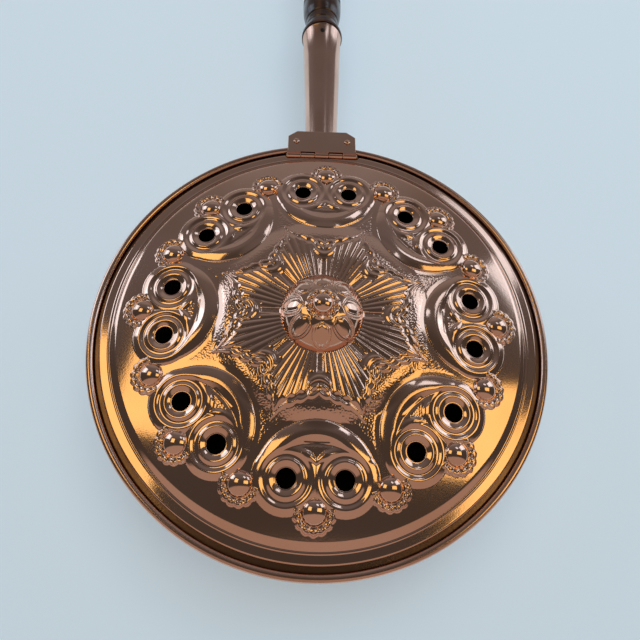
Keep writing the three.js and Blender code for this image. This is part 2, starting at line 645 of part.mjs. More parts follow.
const EYE_CENTRE = HANDLE_END + SEAT_GAP + EYE_RADIUS + EYE_WIRE;

function screwEye() {
  const shankEnd = EYE_CENTRE - EYE_RADIUS;
  const shank = cylinder(EYE_SHANK_RADIUS, shankEnd - HANDLE_END + EYE_SHANK_DEPTH)
    .translate(0, (shankEnd + HANDLE_END - EYE_SHANK_DEPTH) / 2, 0);
  const loop = new THREE.TorusGeometry(EYE_RADIUS, EYE_WIRE, LOOP_SIDES, LOOP_STEPS)
    .rotateY(Math.PI / 2).translate(0, EYE_CENTRE, 0);
  return solid(onHandle(shank)).add(solid(onHandle(loop)));
}

// The ring hangs level-free: its own plane is upright and its top wire lies in the eye.
function hangingRing() {
  const eyeY = HANDLE_ROOT_Y + EYE_CENTRE * Math.cos(RISE);
  const eyeZ = HANDLE_ROOT_Z + EYE_CENTRE * Math.sin(RISE);
  const drop = EYE_RADIUS - EYE_WIRE - RING_WIRE - SEAT_GAP;
  const ring = new THREE.TorusGeometry(RING_RADIUS, RING_WIRE, LOOP_SIDES, LOOP_STEPS);
  return solid(ring.rotateX(Math.PI / 2).translate(0, eyeY, eyeZ - drop - RING_RADIUS));
}

// ---------------------------------------------------------------- assembly
const group = new THREE.Group();
group.add(
  named('pan_bowl', panBowl(), COPPER),
  named('pan_rim_wire', rimWire(), STEEL),
  named('lid', lid(), COPPER),
  named('hinge_plate', hingePlate(), COPPER),
  named('lid_hinge_leaf', lidHingeLeaf(), COPPER),
  named('hinge_pin', hingePin(), BRASS),
  named('hinge_rivet_left', hingeRivet(-1), COPPER),
  named('hinge_rivet_right', hingeRivet(1), COPPER),
  named('handle_bracket', handleBracket(), BRASS),
  named('ferrule', ferrule(), COPPER),
  named('ferrule_rivet', ferruleRivet(), COPPER),
  named('ferrule_nail', ferruleNail(), IRON),
  named('wooden_handle', woodenHandle(), WOOD),
  named('screw_eye', screwEye(), BRASS),
  named('hanging_ring', hangingRing(), BRASS),
);
bracketRivetPlaces().forEach((place, index) => {
  group.add(named(`bracket_rivet_${index + 1}`, bracketRivet(place), COPPER));
});

export default group;
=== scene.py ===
"""Bed warming pan: an embossed copper lid, a copper pan, a tapered ferrule and a turned wooden handle.

Lengths are in millimetres in the row frame until MM turns them into metres. The ornament repeats
eight times round the lid; its plan is worked out on one half of one repeat and mirrored.
"""

import math

import bmesh
import bpy
import numpy as np
from mathutils import Matrix, Vector
from mathutils.geometry import delaunay_2d_cdt


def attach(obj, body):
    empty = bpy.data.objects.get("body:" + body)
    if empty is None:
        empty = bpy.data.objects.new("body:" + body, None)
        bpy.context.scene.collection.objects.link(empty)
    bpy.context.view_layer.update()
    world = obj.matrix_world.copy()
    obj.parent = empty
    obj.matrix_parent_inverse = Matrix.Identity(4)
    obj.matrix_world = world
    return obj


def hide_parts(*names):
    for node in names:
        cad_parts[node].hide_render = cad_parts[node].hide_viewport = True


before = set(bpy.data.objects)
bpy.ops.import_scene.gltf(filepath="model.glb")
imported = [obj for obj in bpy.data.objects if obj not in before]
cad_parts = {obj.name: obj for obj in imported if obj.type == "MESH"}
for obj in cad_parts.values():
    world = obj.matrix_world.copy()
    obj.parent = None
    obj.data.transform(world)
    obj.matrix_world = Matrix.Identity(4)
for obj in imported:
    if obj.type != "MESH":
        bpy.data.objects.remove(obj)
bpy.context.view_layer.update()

MM = 0.001

# ------------------------------------------------------------------ sizes shared with the CAD
VENT_PLANE = 70.0
BEAD_CIRCLE = 148.5
BEAD_HEIGHT = 62.0
BEAD_RADIUS = 2.5
PAN_SHEET = 1.2
WALL_RADIUS = 136.5
CORNER_RADIUS = 18.0
WALL_BEND = 2.6
FLANGE_TOP = 61.6
LID_SHEET = 1.2
LID_RADIUS = 142.8
HEM_BOTTOM = 61.9
FIELD_RADIUS = 130.4
FIELD_EDGE = 67.1
DOME_RISE = 10.0
ORNAMENT_TURN = -1.7
HINGE_Y = 140.0
HINGE_Z = 64.05
PLATE_BOTTOM = 64.8
PLATE_TOP = 66.2
NOTCH_HALF = 28.1
NOTCH_Y = 137.1
NOTCH_START = 136.9
HINGE_HALF = 27.0
KNUCKLES = 5
KNUCKLE_GAP = 0.4
LEAF_BOTTOM = 61.9
LEAF_TOP = 63.0
RISE = math.radians(3)
ROOT_Y = 155.352
ROOT_Z = 47.8
FERRULE_LENGTH = 131.0
FERRULE_ROOT = 12.45
FERRULE_MOUTH = 17.2
FERRULE_WALL = 0.9
EYE_AT = 772.8
RING_DROP = 17.4

# ------------------------------------------------------------------ the ornament's plan
PITCH = 45.0
HALF_PITCH = PITCH / 2
INNER_RADIUS = 26.0
HOLE_RADIUS = 5.75
VENT_ALONG = 98.6
VENT_ACROSS = 16.7
VENT_PATCH = 16.1
VENT_STEPS = 120
MOTIF_CENTRE = 101.3
MOTIF_RADIUS = 35.3
LOBE_RADIUS = 19.6
MOAT = 15.1
CREST_AT = 5.0
NOTCH_BOSS = 115.8
GAP_BOSS = 111.0
BOSS_REACH = 7.4
FRILL_REACH = 13.0
STAR_NOTCH = 51.5
STAR_TIP = 66.5
STAR_RISE = 3.3
FLUTE_PITCH = 5.15
DOT_PITCH = 0.95
DOT_RADIUS = 0.62
DOT_HEIGHT = 0.2

# ------------------------------------------------------------------ how finely things are cut up
FINE = 0.47
COARSE = 0.9
COARSE_FROM = 129.2
UNDER_FINE = 1.7
UNDER_COARSE = 3.0
TURNS = 704
REPEATS = 8
CREASE = 40
SEAM_GAP = 0.00004
TINY_GAP = 1e-6


# ------------------------------------------------------------------ small helpers
def smooth(x, low, high):
    """0 below low, 1 above high, and an even S between them."""
    t = np.clip((x - low) / (high - low), 0, 1)
    return t * t * (3 - 2 * t)


def bump(x, centre, half):
    """A rounded ridge: 1 at its centre, 0 from half its width outwards."""
    t = np.clip(np.abs(x - centre) / half, 0, 1)
    return (1 - t * t) ** 2


def profile(x, points):
    """A smooth curve through (x, height) points."""
    xs = np.array([p[0] for p in points], float)
    ys = np.array([p[1] for p in points], float)
    slopes = np.gradient(ys, xs)
    x = np.clip(x, xs[0], xs[-1])
    i = np.clip(np.searchsorted(xs, x) - 1, 0, len(xs) - 2)
    width = xs[i + 1] - xs[i]
    t = (x - xs[i]) / width
    return (
        (2 * t**3 - 3 * t**2 + 1) * ys[i]
        + (t**3 - 2 * t**2 + t) * width * slopes[i]
        + (3 * t**2 - 2 * t**3) * ys[i + 1]
        + (t**3 - t**2) * width * slopes[i + 1]
    )


def cell_noise(ix, iy, salt):
    """A number from 0 to 1 for each cell of a grid, always the same for the same cell."""
    n = np.sin(ix * 127.1 + iy * 311.7 + salt * 74.7) * 43758.5453
    return n - np.floor(n)


def stipple(x, y):
    """Round punch dots, about a millimetre apart and unevenly placed."""
    cx, cy = np.floor(x / DOT_PITCH), np.floor(y / DOT_PITCH)
    best = np.full(np.shape(x), 9.0)
    for dx in (-1, 0, 1):
        for dy in (-1, 0, 1):
            jx = (cx + dx + 0.2 + 0.6 * cell_noise(cx + dx, cy + dy, 1)) * DOT_PITCH
            jy = (cy + dy + 0.2 + 0.6 * cell_noise(cx + dx, cy + dy, 2)) * DOT_PITCH
            best = np.minimum(best, np.hypot(x - jx, y - jy))
    return DOT_HEIGHT * (1 - np.clip(best / DOT_RADIUS, 0, 1) ** 2)


def new_object(name, points, faces, material, body, shade_smooth=True):
    mesh = bpy.data.meshes.new(name)
    mesh.from_pydata([tuple(p) for p in np.asarray(points) * MM], [], faces)
    mesh.validate()
    if shade_smooth:
        mesh.polygons.foreach_set("use_smooth", [True] * len(mesh.polygons))
    mesh.update()
    obj = bpy.data.objects.new(name, mesh)
    bpy.context.scene.collection.objects.link(obj)
    obj.data.materials.append(material)
    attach(obj, body)
    return obj


# ------------------------------------------------------------------ materials
def material(name, metallic, build):
    made = bpy.data.materials.new(name)
    made.use_nodes = True
    shader = made.node_tree.nodes["Principled BSDF"]
    shader.inputs["Metallic"].default_value = metallic
    build(made.node_tree, shader)
    return made


def node(tree, kind, inputs=None, **settings):
    made = tree.nodes.new(kind)
    for key, value in settings.items():
        setattr(made, key, value)
    for key, value in (inputs or {}).items():
        if hasattr(value, "is_output"):
            tree.links.new(value, made.inputs[key])
        else:
            made.inputs[key].default_value = value
    return made


def ramp(tree, factor, stops):
    made = node(tree, "ShaderNodeValToRGB", {"Fac": factor})
    elements = made.color_ramp.elements
    while len(elements) < len(stops):
        elements.new(0.5)
    for element, (place, colour) in zip(elements, stops):
        element.position = place
        element.color = (*colour, 1)
    return made.outputs["Color"]


def polished(colour, stain, rough, marks):
    """A polished metal: slow stains in its colour and roughness, and fine rubbing marks."""

    def build(tree, shader):
        place = node(tree, "ShaderNodeTexCoord").outputs["Object"]
        slow = node(tree, "ShaderNodeTexNoise", {"Vector": place, "Scale": 18.0, "Detail": 4.0})
        quick = node(tree, "ShaderNodeTexNoise", {"Vector": place, "Scale": 900.0, "Detail": 3.0})
        tint = ramp(tree, slow.outputs["Fac"], [(0.3, stain), (0.62, colour)])
        tree.links.new(tint, shader.inputs["Base Color"])
        level = node(
            tree,
            "ShaderNodeMapRange",
            {"Value": slow.outputs["Fac"], "From Min": 0.3, "From Max": 0.7},
        )
        level.inputs["To Min"].default_value = rough * 1.35
        level.inputs["To Max"].default_value = rough * 0.8
        tree.links.new(level.outputs["Result"], shader.inputs["Roughness"])
        relief = node(tree, "ShaderNodeBump", {"Height": quick.outputs["Fac"]})
        relief.inputs["Strength"].default_value = marks
        relief.inputs["Distance"].default_value = 0.0002
        tree.links.new(relief.outputs["Normal"], shader.inputs["Normal"])

    return build


def stained_wood(tree, shader):
    place = node(tree, "ShaderNodeTexCoord").outputs["Object"]
    stretch = node(tree, "ShaderNodeMapping", {"Vector": place, "Scale": (160, 9, 160)})
    grain = node(
        tree, "ShaderNodeTexNoise", {"Vector": stretch.outputs["Vector"], "Scale": 1.0, "Detail": 6.0}
    )
    tint = ramp(
        tree,
        grain.outputs["Fac"],
        [(0.3, (0.012, 0.006, 0.004)), (0.5, (0.035, 0.015, 0.009)), (0.75, (0.085, 0.035, 0.018))],
    )
    tree.links.new(tint, shader.inputs["Base Color"])
    level = node(tree, "ShaderNodeMapRange", {"Value": grain.outputs["Fac"]})
    level.inputs["To Min"].default_value = 0.22
    level.inputs["To Max"].default_value = 0.4
    tree.links.new(level.outputs["Result"], shader.inputs["Roughness"])
    relief = node(tree, "ShaderNodeBump", {"Height": grain.outputs["Fac"]})
    relief.inputs["Strength"].default_value = 0.15
    relief.inputs["Distance"].default_value = 0.0003
    tree.links.new(relief.outputs["Normal"], shader.inputs["Normal"])
    shader.inputs["Coat Weight"].default_value = 0.5
    shader.inputs["Coat Roughness"].default_value = 0.12


COPPER = material("copper", 1, polished((0.93, 0.60, 0.46), (0.86, 0.52, 0.37), 0.085, 0.06))
BRASS = material("brass", 1, polished((0.80, 0.58, 0.27), (0.66, 0.45, 0.20), 0.16, 0.12))
STEEL = material("steel", 1, polished((0.42, 0.40, 0.38), (0.28, 0.25, 0.22), 0.34, 0.3))
IRON = material("iron", 0.8, polished((0.06, 0.055, 0.05), (0.035, 0.03, 0.026), 0.42, 0.5))
SOOT = material("soot", 0.3, polished((0.030, 0.022, 0.018), (0.018, 0.014, 0.012), 0.6, 0.5))
SATIN = material("satin_copper", 1, polished((0.88, 0.56, 0.43), (0.70, 0.42, 0.31), 0.17, 0.1))
# Copper darkened with painted shade, so that the pan's flange in the gap under the lid's hem looks
# shadowed.
GAP_SHADE_COPPER = material("copper_painted_gap_shade", 1, polished((0.30, 0.18, 0.13), (0.18, 0.10, 0.07), 0.3, 0.3))
WOOD = material("wood", 0, stained_wood)


# ------------------------------------------------------------------ the lid's relief
def dome(r):
    """The plain field's height over the vent plane."""
    return FIELD_EDGE - VENT_PLANE + DOME_RISE * (1 - (r / FIELD_RADIUS) ** 2)


def eyelet(d):
    """A vent's funnel, its one raised ring and the moat round it, by distance from its centre."""
    return profile(
        d,
        [
            (5.7, -0.5), (6.4, 0.0), (7.3, 0.5), (8.3, 0.97), (9.2, 1.32), (9.8, 1.42),
            (10.3, 1.32), (10.8, 1.05), (11.3, 0.78), (11.9, 0.6), (12.6, 0.52), (13.6, 0.5),
            (16.2, 0.5),
        ],
    )


def motif(a, c):
    """Height over the dome, and how far inside the motif's outline a point lies."""
    d = np.hypot(a - VENT_ALONG, c - VENT_ACROSS)
    body = np.minimum(MOTIF_RADIUS - np.hypot(a - MOTIF_CENTRE, c), 93 - a)
    s = np.maximum(body, LOBE_RADIUS - d)
    width = np.maximum(s, 0) + np.maximum(d - MOAT, 0)
    climb = np.clip(s, 0, CREST_AT)
    crown = np.clip(s - CREST_AT, 0, 2)
    rising = 0.4 * smooth(s, -0.3, 0.6) + 0.38 * climb - 0.018 * climb**2
    rising = rising + 0.2 * crown - 0.05 * crown**2
    falling = 0.033 * np.clip(s - CREST_AT - 0.6, 0, 30) ** 2
    falling = np.minimum(falling, 0.36 * (s - CREST_AT) - 1.2)
    falling = np.maximum(falling, 0)
    inner = MOAT - 0.8 + np.clip(0.35 * width, 2.0, 5)
    height = eyelet(d) + (rising - falling - eyelet(d)) * smooth(d, 12.6, inner)
    recess = smooth(a, 79.6, 82.4) * smooth(d, 17.6, 20.4)
    recess *= (1 - smooth(c, 8, 10)) * (1 - smooth(a, 93, 95))
    sill = 0.3 * bump(a, 79.4, 1.4) * (1 - smooth(c, 6.5, 9)) * smooth(a, 70, 76)
    height = height + sill + (0.9 - height) * recess
    return np.where(s > -0.4, height * smooth(s, -0.4, 0.2), 0), s, recess


def star(r, phi):
    """The star's height over the dome, and how far inside its edge a point lies."""
    turn = np.radians(HALF_PITCH)
    angle = np.radians(phi)
    line = STAR_NOTCH * STAR_TIP * math.sin(turn)
    line = line / (STAR_NOTCH * np.sin(angle) + STAR_TIP * np.sin(turn - angle))
    share = (line * np.sin(angle)) / (STAR_TIP * math.sin(turn))
    scallops = 1.3 * np.abs(np.sin(4 * np.pi * np.clip(share, 0, 1)))
    spike = 5.5 * smooth(phi, 19.8, HALF_PITCH) ** 2
    inside = (line + scallops + spike - r) * 0.84
    height = 0.4 * smooth(inside, -0.9, 0.6) + 0.5 * smooth(inside, 3.6, 5.8)
    height = height + 0.65 * bump(inside, 1.2, 2.0)
    off_axis = (HALF_PITCH - phi) / FLUTE_PITCH
    amount = 0.0135 * r
    fading = smooth(r, INNER_RADIUS, INNER_RADIUS + 0.9)
    flutes = amount * (np.abs(np.cos(np.pi * off_axis)) - 0.35) * fading
    flutes = flutes * smooth(inside, 4.2, 6.2) * smooth(off_axis, 3.75, 3.4)
    across = r * np.sin(angle)
    near_notch = 1 - smooth(across, 5.6, 7.0)
    flutes = flutes * (1 - near_notch * smooth(r, 38, 40))
    groove = -0.7 * (1 - smooth(across, 1.3, 2.4)) * (1 - smooth(r, 37.5, 39.5)) * fading
    arches = 0.0
    for crown in (42.2, 47.6):
        arches = arches + 0.65 * bump(r - crown - 0.10 * across**2, 0, 2.4) * near_notch
    return height + flutes + groove + arches, inside, groove


def ball(rho):
    """A round boss about 7 mm in radius: a smooth cap on a short steep side."""
    cap_radius = 10.2
    rim = 6.7
    cap = np.sqrt(np.maximum(cap_radius**2 - np.minimum(rho, rim) ** 2, 0))
    cap = cap - math.sqrt(cap_radius**2 - rim**2)
    return cap + 1.9 * (1 - smooth(rho, 6.2, 7.3))


def fringe(along, across, centre):
    """The scalloped frill round the outer side of a boss."""
    x, y = along - centre, across
    rho = np.hypot(x, y)
    theta = np.degrees(np.arctan2(y, x))
    reach = 1 - smooth(theta, 96, 108)
    lobe = np.abs(np.cos(np.radians(theta * 180 / 25)))
    edge = 11.0 + 1.0 * lobe
    plate = 1.1 * (1 - smooth(rho, edge - 0.5, edge + 0.5))
    ridge = 0.6 * bump(rho, edge - 0.9, 0.9)
    bead = bump(rho, 9.4, 2.1) * (0.2 + 0.8 * lobe)
    groove = -0.5 * bump(rho, 7.5, 0.7)
    return (plate + ridge + 0.85 * bead + groove) * reach


def relief(r, phi, x, y, dotted):
    """Height over the vent plane; phi is the angle from the nearest motif's line, in degrees."""
    angle = np.radians(phi)
    a, c = r * np.cos(angle), r * np.sin(angle)
    height, inside, recess = motif(a, c)
    leaf, in_star, groove = star(r, phi)
    height = np.maximum(height, np.where(in_star > -1, leaf, 0))
    # The star stands on a low plateau, whose middle is dished round the bud.
    height = height + STAR_RISE * (1 - smooth(r, 57, 72)) - (1 - smooth(r, INNER_RADIUS, 48))
    turn = math.radians(HALF_PITCH)
    ga = r * np.cos(angle - turn)
    gc = np.abs(r * np.sin(angle - turn))
    for along, across, centre in ((a, c, NOTCH_BOSS), (ga, gc, GAP_BOSS)):
        rho = np.hypot(along - centre, across)
        frill = fringe(along, across, centre)
        height = np.maximum(height, np.where(rho < FRILL_REACH, frill, 0))
        height = np.maximum(height, np.where(rho < BOSS_REACH, ball(rho), 0))
    if dotted:
        # Dots fill the ground round the star, the motifs' recesses and the star's grooves.
        ground = (1 - smooth(in_star, -1.6, -0.8)) * (1 - smooth(inside, -5.0, -2.5))
        ground = ground * (1 - smooth(r, 86, 94)) * smooth(r, 40, 44)
        ground = np.maximum(ground, recess)
        ground = np.maximum(ground, np.clip(-groove, 0, 1))
        height = height + stipple(x, y) * ground
    return dome(r) + height


def sector_points(spacing, coarse):
    """Plan points of half a repeat, as (along, across): rings round the axis and round the vent."""
    points = []
    half = math.radians(HALF_PITCH)
    half_turns = TURNS // (2 * REPEATS)
    radius = INNER_RADIUS
    count = half_turns
    while radius < FIELD_RADIUS - 0.4 * spacing:
        step = spacing if radius < COARSE_FROM else coarse
        if radius > INNER_RADIUS:
            count = max(6, round(half * radius / step))
        for i in range(count + 1):
            a = half * i / count
            p = (radius * math.cos(a), radius * math.sin(a))
            if math.hypot(p[0] - VENT_ALONG, p[1] - VENT_ACROSS) > VENT_PATCH + 0.3 * spacing:
                points.append(p)
        radius += step * 0.92
    for i in range(half_turns + 1):
        a = half * i / half_turns
        points.append((FIELD_RADIUS * math.cos(a), FIELD_RADIUS * math.sin(a)))
    rings = round((VENT_PATCH - HOLE_RADIUS) / (0.56 * spacing))
    first = len(points)
    for ring in range(rings + 1):
        d = HOLE_RADIUS + (VENT_PATCH - HOLE_RADIUS) * ring / rings
        for i in range(VENT_STEPS):
            a = 2 * math.pi * i / VENT_STEPS
            points.append((VENT_ALONG + d * math.cos(a), VENT_ACROSS + d * math.sin(a)))
    return points, first


def sector_mesh(spacing, coarse):
    """Triangles over half a repeat with the vent left open, and the vent edge's points in order."""
    points, first = sector_points(spacing, coarse)
    edges = [(first + i, first + (i + 1) % VENT_STEPS) for i in range(VENT_STEPS)]
    plan, _, faces, origin, _, _ = delaunay_2d_cdt([Vector(p) for p in points], edges, [], 0, 1e-5)
    plan = np.array(plan)
    kept = []
    for face in faces:
        a, b, c = plan[list(face)]
        x, y = (a + b + c) / 3
        area = abs((b[0] - a[0]) * (c[1] - a[1]) - (b[1] - a[1]) * (c[0] - a[0])) / 2
        longest = max(np.hypot(*(b - a)), np.hypot(*(c - b)), np.hypot(*(a - c)))
        sliver = area < 0.004 * longest**2
        in_hole = math.hypot(x - VENT_ALONG, y - VENT_ACROSS) < HOLE_RADIUS * 0.998
        if not (sliver or in_hole or math.hypot(x, y) < INNER_RADIUS):
            kept.append(face)
    index = {old: new for new, olds in enumerate(origin) for old in olds}
    return plan, kept, [index[first + i] for i in range(VENT_STEPS)]


def whole_skin(spacing, coarse, drop, dotted):
    """The skin from the bud's foot to the field's edge: points, faces, and the 16 vents' edges."""
    plan, faces, vent = sector_mesh(spacing, coarse)
    used = sorted({i for f in faces for i in f})
    renumber = {old: new for new, old in enumerate(used)}
    plan = plan[used]
    faces = [tuple(renumber[i] for i in f) for f in faces]
    vent = [renumber[i] for i in vent]
    r = np.hypot(plan[:, 0], plan[:, 1])
    phi = np.degrees(np.arctan2(plan[:, 1], plan[:, 0]))
    all_points, all_faces, vents = [], [], []
    for repeat in range(REPEATS):
        for side in (1, -1):
            angle = np.radians(repeat * PITCH + side * phi + ORNAMENT_TURN)
            x, y = r * np.cos(angle), r * np.sin(angle)
            z = VENT_PLANE + relief(r, phi, x, y, dotted) - drop
            base = len(all_points) * len(plan)
            all_points.append(np.stack([x, y, z], 1))
            flip = (side == 1) != (drop > 0)
            all_faces += [tuple(base + i for i in (f if flip else f[::-1])) for f in faces]
            vents.append([base + i for i in vent])
    return np.concatenate(all_points), all_faces, vents


BUD_TOP = [
    (26.0, 79.802), (25.9, 80.1), (25.7, 80.6), (25.1, 81.9), (24.1, 83.6),
    (22.7, 85.4), (20.8, 87.3), (18.2, 89.3), (15.2, 91.1), (12.3, 92.3), (9.8, 92.9), (7.7, 92.9),
    (6.9, 93.3), (6.7, 94.4), (6.0, 96.1), (4.8, 97.6), (2.8, 98.7),
]
BUD_UNDER = [(26.0, 78.602), (25.2, 78.8), (24.4, 79.9), (23.1, 82.6), (21.2, 85.1)]
BUD_UNDER += [(17.6, 88.1), (12.0, 90.8), (6.0, 91.7), (2.8, 91.8)]


def along_curve(points, steps):
    """Evenly spaced points on a smooth curve through the given ones, with unit normals."""
    points = np.array(points, float)
    run = np.concatenate([[0], np.cumsum(np.hypot(*np.diff(points, axis=0).T))])
    at = np.linspace(0, run[-1], steps)
    curve = np.stack([profile(at, list(zip(run, points[:, k]))) for k in (0, 1)], 1)
    tangent = np.gradient(curve, axis=0)
    tangent /= np.linalg.norm(tangent, axis=1)[:, None]
    return curve, np.stack([-tangent[:, 1], tangent[:, 0]], 1) * -1, at / run[-1]


def bud_petals(share, angle, radius):
    """Eight pointed, puffed petals, each with a double outline, and a ring of small beads."""
    psi = np.degrees(angle) - ORNAMENT_TURN
    psi = np.abs(psi - PITCH * np.round(psi / PITCH))
    down = np.clip((0.60 - share) / 0.54, 0, 1)
    half = 19.5 * np.clip(1 - down**2.6, 0, 1) ** 0.75 * smooth(down, -0.02, 0.25) ** 0.4
    inside = half - psi
    zone = smooth(share, 0.03, 0.08) * (1 - smooth(share, 0.58, 0.64))
    height = 0.4 * bump(inside, 1.6, 2.2) + 0.12 * bump(inside, 6.0, 1.5)
    height = height + 0.5 * smooth(inside, 2, 14) - 0.3 * bump(inside, -1.2, 2.0)
    beads = bump(radius, 8.8, 1.9) * np.abs(np.cos(5 * angle))
    return height * zone + beads * 1.1 * smooth(share, 0.60, 0.65)


def bud_rings(section, steps, petals):
    """Rings of points up the bud, with or without its petals and beads."""
    curve, normal, share = along_curve(section, steps)
    rows = []
    for i in range(steps):
        angle = np.radians(ORNAMENT_TURN) + 2 * np.pi * np.arange(TURNS) / TURNS
        radius = np.full(TURNS, curve[i, 0])
        move = bud_petals(share[i], angle, radius) if petals else np.zeros(TURNS)
        radius = radius + normal[i, 0] * move
        z = curve[i, 1] + normal[i, 1] * move
        rows.append(np.stack([radius * np.cos(angle), radius * np.sin(angle), z], 1))
    return rows


def rim_rings(section):
    """Rings outside the field, pulled in where the lid's edge is notched for the hinge."""
    rows = []
    angle = np.radians(ORNAMENT_TURN) + 2 * np.pi * np.arange(TURNS) / TURNS
    x, y = np.cos(angle), np.sin(angle)
    in_notch = (y > 0) & (np.abs(x / np.maximum(y, 1e-6)) * NOTCH_Y < NOTCH_HALF)
    limit = np.where(in_notch, NOTCH_Y / y, 1e9)
    for radius, z in section:
        r = np.full(TURNS, float(radius))
        squeeze = np.minimum((limit - NOTCH_START) / (LID_RADIUS - NOTCH_START), 1)
        pulled = NOTCH_START + (r - NOTCH_START) * np.maximum(squeeze, 0.02)
        r = np.where(r > NOTCH_START, pulled, r)
        rows.append(np.stack([r * x, r * y, np.full(TURNS, float(z))], 1))
    return rows


def strip(rows, first, flip, faces):
    """Quads between neighbouring rings whose points start at index first."""
    for k in range(len(rows) - 1):
        a, b = first + k * TURNS, first + (k + 1) * TURNS
        for i in range(TURNS):
            j = (i + 1) % TURNS
            quad = (a + i, b + i, b + j, a + j)
            faces.append(quad[::-1] if flip else quad)


def lid_rim_section():
    """The lid's edge from the field outwards, round the hem and back underneath."""
    top = [(FIELD_RADIUS, 67.1), (131.4, 66.95), (132.5, 66.4), (133.8, 65.6), (134.9, 64.85)]
    top += [(135.5, 64.58), (135.9, 64.6), (136.4, 65.0), (136.9, 64.6), (137.3, 64.5)]
    top += [(137.5, 64.5), (138.6, 64.5), (140.2, 64.5), (141.0, 64.5), (141.3, 64.5)]
    hem = [
        (LID_RADIUS - 1.3 + 1.3 * math.cos(a), HEM_BOTTOM + 1.3 + 1.3 * math.sin(a))
        for a in np.radians(np.arange(75, -91, -20))
    ]
    under = [(LID_RADIUS - 2, HEM_BOTTOM), (LID_RADIUS - 2, 63.2), (136.8, 63.3), (135.2, 63.4)]
    under += [(131.6, 65.7), (FIELD_RADIUS, 65.9)]
    return top + hem + under


def build_lid():
    top, faces, top_vents = whole_skin(FINE, COARSE, 0, True)
    under, under_faces, under_vents = whole_skin(UNDER_FINE, UNDER_COARSE, LID_SHEET, False)
    base = len(top)
    points = [top, under]
    faces += [tuple(base + i for i in f) for f in under_faces]
    for upper, lower in zip(top_vents, under_vents):
        ring = [tuple(top[i] - under[j]) for i, j in zip(upper, lower)]
        assert max(abs(v[0]) for v in ring) < 1e-6
        for i in range(VENT_STEPS):
            j = (i + 1) % VENT_STEPS
            faces.append((upper[i], upper[j], base + lower[j], base + lower[i]))
    count = base + len(under)
    # The third value is how far the closing point stands over the last ring; the rim isn't closed.
    for rows, flip, crown in (
        (bud_rings(BUD_TOP, 84, True), False, 0.35),
        (bud_rings(BUD_UNDER, 24, False), True, 0.0),
        (rim_rings(lid_rim_section()), True, None),
    ):
        strip(rows, count, flip, faces)
        points += rows
        count += len(rows) * TURNS
        if crown is not None:
            points.append(np.array([[0, 0, rows[-1][0][2] + crown]]))
            last = count - TURNS
            for i in range(TURNS):
                j = (i + 1) % TURNS
                tri = (last + i, count, last + j)
                faces.append(tri[::-1] if flip else tri)
            count += 1
    lid = new_object("embossed_lid", np.concatenate(points), faces, COPPER, "lid")
    weld(lid, SEAM_GAP)
    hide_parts("lid")
    return lid


def weld(obj, gap):
    """Merges points closer than a gap in metres and turns every face outwards."""
    bm = bmesh.new()
    bm.from_mesh(obj.data)
    bmesh.ops.remove_doubles(bm, verts=bm.verts, dist=gap)
    bmesh.ops.recalc_face_normals(bm, faces=bm.faces)
    bm.to_mesh(obj.data)
    bm.free()


build_lid()


# ------------------------------------------------------------------ turned pieces
def lathe(name, section, steps, mat, body, place=None, closed=True):
    """A section of (radius, along) points turned about +Z, then placed by a matrix in millimetres."""
    points, faces, rings = [], [], []
    for radius, along in section:
        if radius < 1e-6:
            rings.append([len(points)] * steps)
            points.append((0, 0, along))
            continue
        rings.append(list(range(len(points), len(points) + steps)))
        for i in range(steps):
            a = 2 * math.pi * i / steps
            points.append((radius * math.cos(a), radius * math.sin(a), along))
    pairs = list(zip(rings, rings[1:])) + ([(rings[-1], rings[0])] if closed else [])
    for a, b in pairs:
        for i in range(steps):
            j = (i + 1) % steps
            quad = [a[i], a[j], b[j], b[i]]
            quad = list(dict.fromkeys(quad))
            if len(quad) > 2:
                faces.append(quad)
    points = np.array(points, float)
    if place is not None:
        turn = np.array(place, float)
        points = points @ turn[:3, :3].T + turn[:3, 3]
    made = new_object(name, points, faces, mat, body)
    weld(made, TINY_GAP)
    smooth_by_angle(made, CREASE)
    return made


def smooth_by_angle(obj, degrees):
    """Keeps edges sharper than the given angle crisp."""
    limit = math.radians(degrees)
    bm = bmesh.new()
    bm.from_mesh(obj.data)
    for edge in bm.edges:
        edge.smooth = len(edge.link_faces) != 2 or edge.calc_face_angle(0) < limit
    for face in bm.faces:
        face.smooth = True
    bm.to_mesh(obj.data)
    bm.free()


def arc(cx, cy, radius, start, end, steps):
    """Points of an arc in a lathe's section, with its angles in degrees."""
    return [
        (cx + radius * math.cos(math.radians(a)), cy + radius * math.sin(math.radians(a)))
        for a in np.linspace(start, end, steps)
    ]


